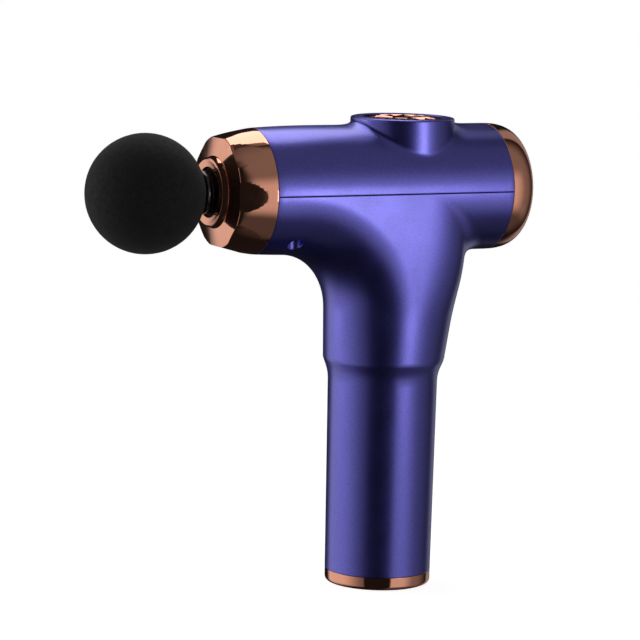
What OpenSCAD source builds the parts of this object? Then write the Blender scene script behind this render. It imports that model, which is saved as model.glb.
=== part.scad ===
// Hand-held percussion massager with a round foam head.
// Units are millimetres. The middle of the base is the origin, +Z runs up the handle,
// the head points along -X and the barrel lies level across the top.

/* [Head] */
// Diameter of the foam ball
ball_d = 50; // [44:1:60]
// Travel of the head, front to back
stroke = 10; // [6:1:11]

/* [Housing] */
// Outer diameter of the barrel
barrel_d = 54.5; // [54.5:0.1:55.5]
// Wall thickness of the barrel
wall = 2.25; // [1.8:0.05:2.3]
// Diameter of the handle at the foot
handle_d = 45.5; // [45.4:0.1:46.6]
// Flats ground into the nose ring
flat_count = 8; // [6:1:9]

/* [Trim] */
// Petals in the air outlet on top
petal_count = 12; // [8:1:14]
// Charge level lights on the back
light_count = 5; // [3:1:8]

/* [Motor] */
// Teeth on the motor core
tooth_count = 9; // [6:3:9]
// Magnets in the motor bell
magnet_count = 12; // [8:2:14]

/* [Battery] */
// Diameter of one cell
cell_d = 18.3; // [17.8:0.1:18.4]
// Length of one cell
cell_l = 65; // [60:1:66]

/* [Hidden] */
$fn = 96;
snug = 0.02;
run = 0.05;
axis_z = 170.7;
barrel_r = barrel_d / 2;
bore_r = barrel_r - wall;
barrel_x0 = -64.6;
barrel_x1 = 46.7;
seam_gap = 0.15;
seam_depth = 0.8;
nose_x = -80.4;
nose_r = 23.4;
collar_x = -85;
rear_x = 60;
rear_flat_r = 17;
foot_r = handle_d / 2;
foot_h = 5.6;
handle_bore = 20.75;
neck_z = 91.3;
step_z = 97.5;
flat_x = -69.4;
flat_r = 25.94;
neck_r = 23.55;
neck_bore = 23.6;
boss_x = 6.2;
boss_r = 22.2;
boss_top = 201.4;
motor_bore = 20.2;
crank_r = stroke / 2;
rod_l = 32;
pin_x = boss_x + crank_r;
wrist_x = pin_x - rod_l;
plunger_r = 8;
plunger_x0 = -85.9;
plunger_x1 = wrist_x + 6.4;
socket_r = 5.2;
socket_l = 23;
ball_x = -87.9 - ball_d / 2;
flange_x0 = -89.7;
flange_x1 = -86;
flange_r = 9.3;
plug_r = 4.6;
seal_xs = [-79, -70];
guide_r = 12;
bush_r = 10;
front_bush_x = -76;
rear_bush_x = -46;
bush_l = 9;
frame_x0 = -76;
frame_x1 = -36;
collar_flange_x = -42;
ring_z0 = 173.2;
ring_z1 = 177.4;
ring_in = 15.9;
ring_out = 19.9;
fly_r = 15;
fly_z0 = 173.9;
fly_z1 = 176.9;
base_top = 179.4;
bell_r = 18.5;
bell_z0 = 180.4;
bell_z1 = 197.2;
core_z0 = 182.4;
core_z1 = 190.4;
core_r = 15.6;
shaft_r = 1.5;
screw_x = -51.8;
screw_y = 16.5;
screw_head_z = 157;
cell_z = 14;
cell_ring = cell_d / sqrt(3) + 0.15;
board_x = 36;
panel_x = 57.4;
button_r = 6;
button_travel = 0.5;
socket_x = 10;
lead_x = 16.4;

// ---- helpers ----

// Solid of revolution about the barrel axis from [x, radius] points.
module spin_x(points) {
    translate([0, 0, axis_z])
        rotate([0, 90, 0])
            rotate_extrude()
                polygon([for (p = points) [p[1], p[0]]]);
}

// Cylinder along the barrel axis between two stations.
module rod_x(x0, x1, r, y = 0, z = axis_z) {
    translate([x0, y, z])
        rotate([0, 90, 0])
            cylinder(r = r, h = x1 - x0);
}

module tube_x(x0, x1, r_out, r_in) {
    difference() {
        rod_x(x0, x1, r_out);
        rod_x(x0 - 1, x1 + 1, r_in);
    }
}

// Upright cylinder between two heights.
module rod_z(z0, z1, r, x = 0, y = 0) {
    translate([x, y, z0])
        cylinder(r = r, h = z1 - z0);
}

module tube_z(z0, z1, r_out, r_in, x = 0, y = 0) {
    difference() {
        rod_z(z0, z1, r_out, x, y);
        rod_z(z0 - 1, z1 + 1, r_in, x, y);
    }
}

module block(low, high) {
    translate(low)
        cube(high - low);
}

// Skin between rings of equal point count, closed at both ends.
module skin(rings) {
    n = len(rings[0]);
    m = len(rings);
    sides = [for (j = [0:m - 2], i = [0:n - 1], t = [0, 1])
        t == 0 ? [j * n + i, (j + 1) * n + i, (j + 1) * n + (i + 1) % n]
            : [j * n + i, (j + 1) * n + (i + 1) % n, j * n + (i + 1) % n]];
    low = [for (i = [0:n - 1]) i];
    high = [for (i = [n - 1:-1:0]) (m - 1) * n + i];
    polyhedron(points = [for (r = rings, p = r) p], faces = concat(sides, [low, high]), convexity = 6);
}

// Round the corner of a flare: 0 at the start, 1 at the end, vertical at first.
function flare(t) = 1 - sqrt(1 - pow(min(max(t, 0), 1), 2));

// Smooth rise from 0 to 1.
function ease(t) = t <= 0 ? 0 : t >= 1 ? 1 : t * t * (3 - 2 * t);

// ---- housing shape ----

neck_rise = ease(1) * 2.45;
function neck_base(z) = neck_r + neck_rise * ease((z - neck_z) / (step_z - neck_z) * 0.97);
function neck_front(z) = neck_base(z) + 0.03 * max(z - step_z, 0) + 19.4 * flare((z - 118.3) / 25.2);
function neck_back(z) = neck_base(z) + 0.18 * max(z - step_z, 0) + 8.5 * flare((z - 134.8) / 8.8);
function neck_side(z) = neck_base(z) + 0.011 * max(z - step_z, 0);
function neck_ring(z) = [for (i = [0:71]) let (a = i * 5, c = cos(a), s = sin(a))
    [c * (c < 0 ? neck_front(z) : neck_back(z)), s * neck_side(z), z]];

// Inside radius of that bend, and the height where it starts.
bend_r = 24;
bend_z = axis_z - barrel_r - bend_r;
// How far the bend's tube stays inside the sides and the front of the neck.
bend_side_gap = 0.7;
bend_front_gap = 0.1;

neck_levels = [91, 92.6, 94.2, 95.8, 97.5, 104, 112, 119, 124, 128, 131.5, 134.5, 137, 139, 140.8,
    142.2, 143.2, 144, 150, 158, 168];

// Barrel outline: the last few millimetres before the nose ring taper slightly.
barrel_line = [[barrel_x0, 0], [barrel_x0, barrel_r - 0.8], [-62.6, barrel_r - 0.6],
    [-57, barrel_r - 0.38], [-51, barrel_r - 0.25], [-45, barrel_r - 0.1], [-36, barrel_r],
    [barrel_x1, barrel_r], [barrel_x1, 0]];

// Height of the barrel surface above the axis at a side offset.
function crest(y) = sqrt(pow(barrel_r, 2) - pow(y, 2));

// Foot of the boss: wide along the crest, tight at the sides.
skirt_steps = 6;
function skirt_spread(a) = 1.6 + 5.6 * pow(abs(cos(a)), 1.5);
function skirt_rise(a) = 1.5 + 1.4 * pow(abs(cos(a)), 1.5);
function skirt_ring(k) = [for (i = [0:71]) let (
    a = i * 5,
    t = k / skirt_steps,
    r = boss_r + 0.35 + skirt_spread(a) * (1 - sin(90 * t)),
    y = r * sin(a),
    lift = skirt_rise(a) * (1 - cos(90 * t)) - 0.12 * (1 - t))
    [boss_x + r * cos(a), y, axis_z + crest(min(abs(y), barrel_r - 1)) + lift]];
skirt_floor = [for (p = skirt_ring(0)) [boss_x + (p[0] - boss_x) * 0.8, p[1] * 0.8, axis_z + 6]];

module barrel_shape() {
    spin_x(barrel_line);
}

// The front of the neck turns into the barrel like a bent pipe.
module neck_bend() {
    translate([bend_front_gap - neck_front(bend_z) - bend_r, 0, bend_z])
        rotate([90, 0, 0])
            rotate_extrude(angle = 90)
                translate([bend_r + barrel_r, 0])
                    circle(r = neck_side(bend_z) - bend_side_gap);
}

module handle_shape() {
    rod_top = neck_z - foot_h;
    translate([0, 0, foot_h])
        cylinder(r1 = foot_r + 0.05, r2 = neck_r, h = rod_top);
    skin([for (z = neck_levels) neck_ring(z)]);
    neck_bend();
}

module boss_shape() {
    translate([boss_x, 0, 0])
        rotate_extrude()
            polygon([[0, axis_z + 5], [boss_r + 0.4, axis_z + 5], [boss_r + 0.35, boss_top - 4],
                [boss_r, boss_top - 1.2], [boss_r - 0.35, boss_top - 0.6], [boss_r - 1.1, boss_top - 0.2],
                [boss_r - 2.4, boss_top], [18, boss_top], [0, boss_top]]);
    skin(concat([skirt_floor], [for (k = [0:skirt_steps]) skirt_ring(k)]));
}

// Thin step along the parting line, so the two halves show a fine joint.
module seam_step(side) {
    low = side > 0 ? axis_z - 1 : axis_z - seam_gap;
    high = side > 0 ? axis_z + seam_gap : axis_z + 1;
    difference() {
        block([barrel_x0 - 1, -40, low], [barrel_x1 + 1, 40, high]);
        block([barrel_x0 - 2, seam_depth - barrel_r, low - 1],
            [barrel_x1 + 2, barrel_r - seam_depth, high + 1]);
    }
}

// Ribs that hold the control board and the dampers in each half.
module rib_rings() {
    tube_x(board_x - 1.4, board_x - run, bore_r + 0.5, bore_r - 1.8);
    tube_x(board_x + 1.6 + run, board_x + 3, bore_r + 0.5, bore_r - 1.8);
    tube_x(collar_flange_x - 4.5, collar_flange_x - 3.1, bore_r + 0.5, bore_r - 1.2);
    tube_x(collar_flange_x + 3.1, collar_flange_x + 4.5, bore_r + 0.5, bore_r - 1.2);
}

module upper_housing() {
    color("#3a36a0")
        difference() {
            union() {
                difference() {
                    union() {
                        barrel_shape();
                        boss_shape();
                    }
                    rod_x(barrel_x0 - 1, barrel_x1 + 1, bore_r);
                }
                rib_rings();
                for (s = [-1, 1])
                    rod_z(axis_z, 188.5, 3.6, screw_x, s * screw_y);
            }
            rod_z(axis_z, 198.4, motor_bore, boss_x);
            rod_z(198, 200, 16.6, boss_x);
            rod_z(199.4, boss_top + 1, 18, boss_x);
            for (s = [-1, 1])
                rod_z(axis_z - 1, 179, 1.15, screw_x, s * screw_y);
            block([-90, -40, 100], [70, 40, axis_z]);
            seam_step(1);
        }
}

module lower_housing() {
    color("#3a36a0")
        difference() {
            union() {
                difference() {
                    union() {
                        barrel_shape();
                        handle_shape();
                    }
                    rod_x(barrel_x0 - 1, barrel_x1 + 1, bore_r);
                    rod_z(foot_h - 1, 110, handle_bore);
                    rod_z(100, axis_z, neck_bore);
                }
                difference() {
                    rib_rings();
                    rod_z(130, axis_z, neck_bore);
                }
                for (s = [-1, 1])
                    rod_z(150.5, axis_z, 4.2, screw_x, s * screw_y);
            }
            for (s = [-1, 1]) {
                rod_z(140, screw_head_z, 3.25, screw_x, s * screw_y);
                rod_z(140, axis_z + 1, 1.4, screw_x, s * screw_y);
            }
            block([-90, -40, axis_z], [70, 40, 210]);
            seam_step(-1);
        }
}

// ---- nose ----

module nose_ring() {
    tilt = atan((flat_r - nose_r * 0.964) / (flat_x - nose_x));
    color("#d99a7c")
        difference() {
            spin_x([[barrel_x0, 26.4], [-68, 26.1], [-71, 25.75], [-74, 25.2], [-77, 24.5], [-79.4, 23.75],
                [nose_x, nose_r], [-80.8, 22.6], [-82.1, 15.25], [-82.1, 13], [-80.1, 13], [-79, 20],
                [-74, 22.2], [-67, 22.9], [-57, 22.9], [-57, bore_r - run], [barrel_x0, bore_r - run]]);
            for (i = [0:flat_count - 1])
                translate([0, 0, axis_z])
                    rotate([360 / flat_count * i, 0, 0])
                        translate([flat_x, 0, flat_r])
                            rotate([0, -tilt, 0])
                                translate([-20, -20, 0])
                                    cube([24, 40, 12]);
        }
}

module nose_collar() {
    color("#d99a7c")
        spin_x([[-82.1, 15.2], [-84.4, 14.45], [-84.85, 14.2], [collar_x, 13.7], [-84.7, 10.7], [-84.4, 10.5],
            [-79.4, 10.5], [-79.4, 12.95], [-82.1, 12.95]]);
}

module dust_seal() {
    color("#1a1a1a")
        spin_x([[-83.6, 10.45], [-83.6, 9.2], [-82.8, 8.35], [-82.2, 8.35], [-81.4, 9.2], [-79.6, 9.2],
            [-79.6, 10.45]]);
}

// ---- back of the barrel ----

function dome_x(a, t) = barrel_x1 + (rear_x - t - barrel_x1) * pow(sin(a), 0.8);
function dome_r(a, t) = rear_flat_r - 0.2 + (barrel_r - t - rear_flat_r + 0.2) * pow(cos(a), 0.8);

module rear_bezel() {
    outer = [for (i = [0:15]) [dome_x(i * 6, 0), dome_r(i * 6, 0)]];
    inner = [for (i = [15:-1:1]) [dome_x(i * 6, 2.1), dome_r(i * 6, 2.1)]];
    color("#d99a7c")
        difference() {
            spin_x(concat(outer, inner, [[barrel_x1 + 1, bore_r - 1.6], [41, bore_r - 1.6],
                [41, bore_r - run], [barrel_x1, bore_r - run]]));
            rod_x(50, 70, rear_flat_r - 0.3);
        }
}

module rear_panel() {
    color("#101012")
        difference() {
            union() {
                rod_x(panel_x, 59.5, rear_flat_r - 0.35);
                rod_x(56.2, panel_x, rear_flat_r + 1.6);
                for (i = [0:2])
                    translate([0, 0, axis_z])
                        rotate([120 * i, 0, 0])
                            rod_x(53.2, 56.6, 2, 0, 13);
            }
            rod_x(50, 70, button_r + 0.3);
            rod_x(50, 57.9, button_r + 1.5);
            for (i = [0:2])
                translate([0, 0, axis_z])
                    rotate([120 * i, 0, 0])
                        rod_x(50, 56.8, 0.8, 0, 13);
            for (i = [0:light_count - 1])
                translate([0, 0, axis_z])
                    rotate([(i - (light_count - 1) / 2) * 24, 0, 0])
                        rod_x(50, 70, 0.9, 0, -11);
        }
}

module power_button() {
    color("#26262a")
        difference() {
            union() {
                rod_x(56, 60, button_r);
                rod_x(55.8, 57.4, button_r + 1.1);
                rod_x(55.6, 56, 1.5);
            }
            translate([66.2, 0, axis_z])
                sphere(r = 7);
        }
}

module level_lights() {
    color("#e8f4ff")
        for (i = [0:light_count - 1])
            translate([0, 0, axis_z])
                rotate([(i - (light_count - 1) / 2) * 24, 0, 0])
                    rod_x(53.3, 59.6, 0.88, 0, -11);
}

module panel_board() {
    color("#1f5a35")
        difference() {
            rod_x(52, 53.2, 15.8);
            for (i = [0:2])
                translate([0, 0, axis_z])
                    rotate([120 * i, 0, 0])
                        rod_x(51, 54, 0.95, 0, 13);
        }
}

module panel_screws() {
    color("#8c8c90")
        for (i = [0:2])
            translate([0, 0, axis_z])
                rotate([120 * i, 0, 0]) {
                    rod_x(50.8, 52, 1.7, 0, 13);
                    rod_x(52, 56.6, 0.78, 0, 13);
                }
}

module tact_switch() {
    color("#3c3c40") {
        block([53.2, -3, axis_z - 3], [54.4, 3, axis_z + 3]);
        rod_x(54.4, 55.05, 1.7);
    }
}

module panel_leads() {
    color("#d8d8d0")
        for (i = [-1:1])
            rod_x(board_x + 1.6, 52, 0.6, i * 2, axis_z - 9);
}

// ---- air outlet on top ----

module outlet_rosette() {
    color("#d99a7c")
        difference() {
            union() {
                tube_z(199.4, 201.2, 17.9, 15.9, boss_x);
                rod_z(199.4, 200.2, 16, boss_x);
                rod_z(200, 201.35, 4.2, boss_x);
                for (i = [0:petal_count - 1])
                    translate([boss_x, 0, 200])
                        rotate([0, 0, 360 / petal_count * i])
                            rotate([90, 0, 90])
                                linear_extrude(16.2)
                                    polygon([[-1.5, 0], [1.5, 0], [0, 1.25]]);
            }
            for (i = [0:petal_count - 1])
                translate([boss_x, 0, 199])
                    rotate([0, 0, 360 / petal_count * (i + 0.5)])
                        linear_extrude(2)
                            polygon([[8.2, -0.5], [14.6, -1.5], [14.6, 1.5], [8.2, 0.5]]);
        }
}

module outlet_screen() {
    color("#141414")
        difference() {
            rod_z(198.9, 199.38, 16.5, boss_x);
            for (a = [0:30:330], r = [5, 9, 13])
                rod_z(198, 200, 0.8, boss_x + r * cos(a), r * sin(a));
        }
}

// ---- foot of the handle ----

module base_ring() {
    color("#d99a7c")
        difference() {
            rotate_extrude()
                polygon([[17.4, 0], [foot_r - 1.7, 0], [foot_r - 0.85, 0.25], [foot_r - 0.3, 0.8],
                    [foot_r - 0.05, 1.6], [foot_r, 2.4], [foot_r, foot_h], [handle_bore - run, foot_h],
                    [handle_bore - run, 9.4], [handle_bore - 1.6, 9.4], [handle_bore - 1.6, 3], [17.4, 3]]);
            rod_z(-1, 2.2, 18.1);
        }
}

module base_plate() {
    color("#1c1c1e")
        difference() {
            rod_z(0, 2, 18);
            translate([socket_x, 0, -1])
                linear_extrude(4)
                    slot_outline(9.3, 3.6);
            for (s = [-1, 1]) {
                rod_z(-1, 3, 1.2, -4, 12 * s);
                rod_z(-1, 1.2, 2.3, -4, 12 * s);
            }
        }
}

module slot_outline(w, t) {
    for (s = [-1, 1])
        translate([0, s * (w - t) / 2])
            circle(r = t / 2);
    square([t, w - t], center = true);
}

module base_screws() {
    color("#8c8c90")
        for (s = [-1, 1])
            difference() {
                union() {
                    rod_z(0.2, 1.2, 2.1, -4, 12 * s);
                    rod_z(1.2, 8, 1.1, -4, 12 * s);
                }
                translate([-5.2, 12 * s - 0.25, 0])
                    cube([2.4, 0.5, 0.6]);
                translate([-4.25, 12 * s - 1.2, 0])
                    cube([0.5, 2.4, 0.6]);
            }
}

module charge_socket() {
    color("#b8b8bc")
        difference() {
            translate([socket_x, 0, 0.6])
                linear_extrude(7.4)
                    slot_outline(8.94, 3.26);
            difference() {
                translate([socket_x, 0, 0])
                    linear_extrude(6.8)
                        slot_outline(8.3, 2.6);
                block([socket_x - 0.35, -3.3, 2], [socket_x + 0.35, 3.3, 7.5]);
            }
        }
}

module charge_board() {
    color("#1f5a35") {
        block([-9, -7.5, 8], [17.2, 7.5, 9.2]);
        block([-7, -6, 9.2], [-2, -1, 10]);
    }
}

module charge_leads() {
    color("#c23a2a")
        for (s = [-1, 1])
            rod_z(9.2, 84, 0.7, lead_x, s * 0.9);
}

// ---- battery ----

cell_angles = [180, 300, 60];

module cell_pockets(grow) {
    for (a = cell_angles)
        rod_z(cell_z, cell_z + cell_l, cell_d / 2 + grow, cell_ring * cos(a), cell_ring * sin(a));
}

// Both holders are discs with three cell pockets, strap windows and a wire hole.
module cell_holder(z0, z1) {
    difference() {
        rod_z(z0, z1, handle_bore - 0.15);
        cell_pockets(run);
        for (a = cell_angles)
            rod_z(z0 - 1, z1 + 1, 4.5, cell_ring * cos(a), cell_ring * sin(a));
        block([lead_x - 1.4, -2.4, z0 - 1], [lead_x + 1.4, 2.4, z1 + 1]);
        rod_z(z0 - 1, z1 + 1, 4, 0, 0);
    }
}

module lower_cell_holder() {
    color("#2c2c30")
        difference() {
            union() {
                cell_holder(11, 20);
                for (s = [-1, 1])
                    rod_z(2, 11, 2.6, -4, 12 * s);
            }
            for (s = [-1, 1])
                rod_z(1, 8.5, 1.12, -4, 12 * s);
        }
}

module upper_cell_holder() {
    color("#2c2c30")
        cell_holder(cell_z + cell_l - 6, cell_z + cell_l + 2.5);
}

// One cell: can with a rolled shoulder and a raised cap at the top end.
module cell(a) {
    translate([cell_ring * cos(a), cell_ring * sin(a), cell_z])
        rotate_extrude()
            polygon([[0, 0], [cell_d / 2 - 0.5, 0], [cell_d / 2, 0.5], [cell_d / 2, cell_l - 3.4],
                [cell_d / 2 - 0.7, cell_l - 3], [cell_d / 2 - 0.7, cell_l - 2.4], [cell_d / 2, cell_l - 2],
                [cell_d / 2, cell_l - 1], [cell_d / 2 - 0.8, cell_l - 0.7], [3.6, cell_l - 0.7],
                [3.4, cell_l], [0, cell_l]]);
}

module cell_front() {
    color("#2f6f9f")
        cell(cell_angles[0]);
}

module cell_left() {
    color("#2f6f9f")
        cell(cell_angles[1]);
}

module cell_right() {
    color("#2f6f9f")
        cell(cell_angles[2]);
}

// Nickel tabs: a bent one on top of each cell up to the board, a flat pair link below.
module cell_straps() {
    top = cell_z + cell_l;
    color("#c9c9c4") {
        for (a = cell_angles)
            translate([cell_ring * cos(a), cell_ring * sin(a), top])
                union() {
                    translate([-2.5, -2.5, 0])
                        cube([5, 5, 0.25]);
                    translate([-0.15, -2.5, 0])
                        cube([0.3, 5, 84 - top]);
                }
        for (a = cell_angles)
            translate([cell_ring * cos(a), cell_ring * sin(a), cell_z - 0.25])
                cylinder(r = 3.4, h = 0.25);
    }
}

module battery_board() {
    color("#1f5a35") {
        difference() {
            rod_z(84, 85.4, 17.5);
            rod_z(83, 87, 1.6, -13.5);
        }
        block([-3, -9, 85.4], [3, -4, 87]);
        block([-3, 4, 85.4], [3, 9, 87]);
    }
}

// Each lead runs up from the battery board, bends back and meets the control board.
module battery_leads() {
    bend = 9;
    color("#b02a22")
        for (s = [-1, 1]) {
            rod_z(85.4, 145, 0.9, 12, 5 * s);
            translate([12 + bend, 5 * s, 145])
                rotate([90, 0, 0])
                    rotate([0, 0, 90])
                        rotate_extrude(angle = 90)
                            translate([bend, 0])
                                circle(r = 0.9);
            rod_x(12 + bend, board_x, 0.9, 5 * s, 145 + bend);
        }
}

// ---- control ----

module control_board() {
    color("#1f5a35")
        rod_x(board_x, board_x + 1.6, bore_r - 0.3);
}

module board_parts() {
    color("#303034") {
        for (i = [-1:1])
            block([board_x + 1.6, i * 9 - 3, axis_z + 4], [board_x + 3.2, i * 9 + 3, axis_z + 9]);
        rod_x(board_x + 1.6, board_x + 9, 3.1, -9, axis_z - 5);
        rod_x(board_x + 1.6, board_x + 9, 3.1, 9, axis_z - 5);
        block([board_x + 1.6, -3.5, axis_z - 3], [board_x + 2.7, 3.5, axis_z + 2]);
    }
}

module motor_leads() {
    color("#3f78c0")
        for (i = [-1:1])
            rod_x(boss_x + ring_out, board_x, 0.7, i * 4, ring_z1 + 1);
}

// ---- drive ----

module drive_frame() {
    color("#a9adb0")
        difference() {
            union() {
                rod_x(frame_x0, frame_x1, guide_r);
                rod_x(collar_flange_x - 2, collar_flange_x + 2, bore_r - 3.2);
                for (s = [-1, 1])
                    block([collar_flange_x, s > 0 ? 16.6 : -20.6, axis_z - 3],
                        [boss_x, s > 0 ? 20.6 : -16.6, ring_z1]);
                rod_z(ring_z0, ring_z1, ring_out, boss_x);
                block([boss_x + ring_out - 3, -7, axis_z - 3], [board_x - 4.5, 7, ring_z1]);
            }
            rod_x(frame_x0 - 1, frame_x1 + 1, bush_r + snug);
            rod_z(160, 180, ring_in, boss_x);
            block([-34, -11, 150], [boss_x, 11, 190]);
            for (i = [0:3])
                rod_z(170, 180, 0.82, boss_x + 17.9 * cos(45 + 90 * i), 17.9 * sin(45 + 90 * i));
        }
}

module front_damper() {
    color("#242424")
        tube_x(collar_flange_x - 3, collar_flange_x + 3, bore_r - run, bore_r - 3.15);
}

module rear_damper() {
    x0 = board_x - 4.45;
    color("#242424")
        for (s = [-1, 1])
            block([x0, s > 0 ? 2 : -6, axis_z - 2.5], [x0 + 2.9, s > 0 ? 6 : -2, axis_z + 5]);
}

module front_bush() {
    color("#b08a4a")
        tube_x(front_bush_x + 0.2, front_bush_x + bush_l, bush_r, plunger_r + run);
}

module rear_bush() {
    color("#b08a4a")
        tube_x(rear_bush_x, rear_bush_x + bush_l, bush_r, plunger_r + run);
}

module motor_base() {
    color("#8f9296")
        difference() {
            union() {
                rod_z(ring_z1, base_top, ring_out - 0.1, boss_x);
                block([boss_x, -6, ring_z1], [boss_x + ring_out, 6, base_top]);
                rod_z(ring_z1, 193, 5.2, boss_x);
            }
            rod_z(ring_z1 - 1, 183, 4 + snug, boss_x);
            rod_z(170, 200, 3, boss_x);
            rod_z(189, 194, 4 + snug, boss_x);
            for (i = [0:3])
                translate([boss_x + 17.9 * cos(45 + 90 * i), 17.9 * sin(45 + 90 * i), 0]) {
                    rod_z(170, 180, 1.05);
                    translate([0, 0, base_top - 0.9])
                        cylinder(r1 = 1.05, r2 = 2, h = 0.92);
                }
        }
}

module motor_screws() {
    color("#7a7a7e")
        for (i = [0:3])
            translate([boss_x + 17.9 * cos(45 + 90 * i), 17.9 * sin(45 + 90 * i), 0])
                difference() {
                    union() {
                        rod_z(173.4, base_top - 0.8, 0.8);
                        translate([0, 0, base_top - 0.92])
                            cylinder(r1 = 0.9, r2 = 1.8, h = 0.9);
                    }
                    translate([0, 0, base_top - 0.5])
                        cylinder(r = 0.7, h = 1, $fn = 6);
                }
}

module motor_bearings() {
    color("#c8c8cc") {
        tube_z(178.6, 182.6, 4, shaft_r + 0.03, boss_x);
        tube_z(189, 193, 4, shaft_r + 0.03, boss_x);
    }
}

module motor_core() {
    color("#6c6e70")
        translate([boss_x, 0, core_z0])
            linear_extrude(core_z1 - core_z0)
                difference() {
                    union() {
                        circle(r = 8);
                        for (i = [0:tooth_count - 1])
                            rotate(360 / tooth_count * i) {
                                translate([6, -1.1])
                                    square([8.4, 2.2]);
                                intersection() {
                                    difference() {
                                        circle(r = core_r);
                                        circle(r = core_r - 1.5);
                                    }
                                    polygon([[0, 0], [20, -5.6], [20, 5.6]]);
                                }
                            }
                    }
                    circle(r = 5.2 + snug);
                }
}

module motor_windings() {
    color("#b5651d")
        for (i = [0:tooth_count - 1])
            translate([boss_x, 0, 0])
                rotate([0, 0, 360 / tooth_count * i])
                    difference() {
                        block([8.4, -2.4, core_z0 - 1.4], [13.6, 2.4, core_z1 + 1.4]);
                        block([8, -1.12, core_z0 - snug], [14, 1.12, core_z1 + snug]);
                    }
}

module motor_bell() {
    color("#4a4c50")
        difference() {
            rod_z(bell_z0, bell_z1, bell_r, boss_x);
            rod_z(bell_z0 - 1, bell_z1 - 1.4, 17.3, boss_x);
            rod_z(190, 200, shaft_r + 0.01, boss_x);
            for (i = [0:5])
                rod_z(190, 200, 3, boss_x + 11 * cos(60 * i), 11 * sin(60 * i));
        }
}

module motor_magnets() {
    step = 360 / magnet_count;
    color("#5a5a60")
        for (i = [0:magnet_count - 1])
            translate([boss_x, 0, 181.6])
                rotate([0, 0, step * i])
                    linear_extrude(9.8)
                        intersection() {
                            difference() {
                                circle(r = 17.28);
                                circle(r = 16.1);
                            }
                            polygon([[0, 0], [30 * cos(step / 2 - 1.5), 30 * sin(step / 2 - 1.5)],
                                [30 * cos(step / 2 - 1.5), -30 * sin(step / 2 - 1.5)]]);
                        }
}

module motor_shaft() {
    color("#d0d0d4")
        rod_z(fly_z0, bell_z1 + 0.2, shaft_r, boss_x);
}

// Disc with the crank seat on one side; the slots there leave the far side heavy.
module flywheel() {
    color("#9a9ca0")
        difference() {
            rod_z(fly_z0, fly_z1, fly_r, boss_x);
            rod_z(fly_z0 - 1, fly_z1 + 1, shaft_r + 0.01, boss_x);
            rod_z(fly_z0 - 1, fly_z0 + 1.6, 2.3, pin_x);
            for (a = [-62, -31, 31, 62])
                rod_z(fly_z0 - 1, fly_z1 + 1, 2.2, boss_x + 11 * cos(a), 11 * sin(a));
            rod_x(boss_x - 16, boss_x, 1.27, 0, fly_z1 - 1.5);
        }
}

module flywheel_screw() {
    color("#3a3a3e")
        difference() {
            rod_x(boss_x - 7, boss_x - shaft_r - 0.05, 1.25, 0, fly_z1 - 1.5);
            translate([boss_x - 8, 0, fly_z1 - 1.5])
                rotate([0, 90, 0])
                    cylinder(r = 0.75, h = 2.5, $fn = 6);
        }
}

module crank_pin() {
    color("#d0d0d4") {
        rod_z(axis_z - 3, fly_z0 - 0.3, 1.98, pin_x);
        rod_z(axis_z - 4, axis_z - 3, 3, pin_x);
    }
}

module crank_bearing() {
    color("#c8c8cc")
        tube_z(axis_z - 2, axis_z + 2, 5, 2, pin_x);
}

module connecting_rod() {
    color("#b4b7ba")
        difference() {
            union() {
                rod_z(axis_z - 2.3, axis_z + 2.3, 7, pin_x);
                rod_z(axis_z - 2.3, axis_z + 2.3, 4.4, wrist_x);
                translate([0, 0, axis_z - 2.3])
                    linear_extrude(4.6)
                        polygon([[wrist_x, -3.6], [pin_x, -5], [pin_x, 5], [wrist_x, 3.6]]);
            }
            rod_z(axis_z - 4, axis_z + 4, 5 + snug, pin_x);
            rod_z(axis_z - 4, axis_z + 4, 2 + run, wrist_x);
            for (z = [axis_z + 1.3, axis_z - 3.3])
                translate([0, 0, z])
                    linear_extrude(2)
                        polygon([[wrist_x + 6.5, -1.8], [pin_x - 9, -2.3],
                            [pin_x - 9, 2.3], [wrist_x + 6.5, 1.8]]);
        }
}

module wrist_pin() {
    color("#d0d0d4")
        rod_z(axis_z - 7, axis_z + 7, 2, wrist_x);
}

module plunger() {
    color("#c4c6c8")
        difference() {
            rod_x(plunger_x0, plunger_x1, plunger_r);
            rod_x(plunger_x0 - 1, plunger_x0 + socket_l, socket_r);
            block([wrist_x - 6, -10, axis_z - 2.7], [plunger_x1 + 1, 10, axis_z + 2.7]);
            rod_z(axis_z - 10, axis_z + 10, 2 + snug, wrist_x);
        }
}

// ---- head ----

module head_seals() {
    color("#161616")
        for (x = seal_xs)
            translate([x, 0, axis_z])
                rotate([0, 90, 0])
                    rotate_extrude()
                        translate([4.45, 0])
                            circle(r = 0.4);
}

module head_stem() {
    groove = 1.5;
    color("#121214")
        difference() {
            spin_x([[-65.4, 0], [-65.4, 3.9], [-66.2, plug_r], [flange_x1 + 0.1, plug_r], [flange_x1, 8.2],
                [flange_x1 - 0.3, 8.8], [flange_x1 - 0.9, 9.15], [flange_x1 - 1.8, flange_r],
                [flange_x1 - 2.7, 9.15], [flange_x0, 8.4], [flange_x0, 5.5], [ball_x + 3, 5.5],
                [ball_x + 3, 13], [ball_x, 13], [ball_x, 5.5], [ball_x - 3, 5.5], [ball_x - 4, 4.6],
                [ball_x - 4, 0]]);
            for (x = seal_xs)
                tube_x(x - groove / 2, x + groove / 2, plug_r + 1, 3.7);
        }
}

module head_ball() {
    color("#18181a")
        difference() {
            translate([ball_x, 0, axis_z])
                sphere(r = ball_d / 2);
            rod_x(flange_x0 - 0.02, flange_x1 + 5, flange_r + 0.3);
            rod_x(ball_x - 4.02, -80, 5.52);
            rod_x(ball_x - 0.02, ball_x + 3.02, 13.02);
        }
}

// ---- fasteners between the halves ----

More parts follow.
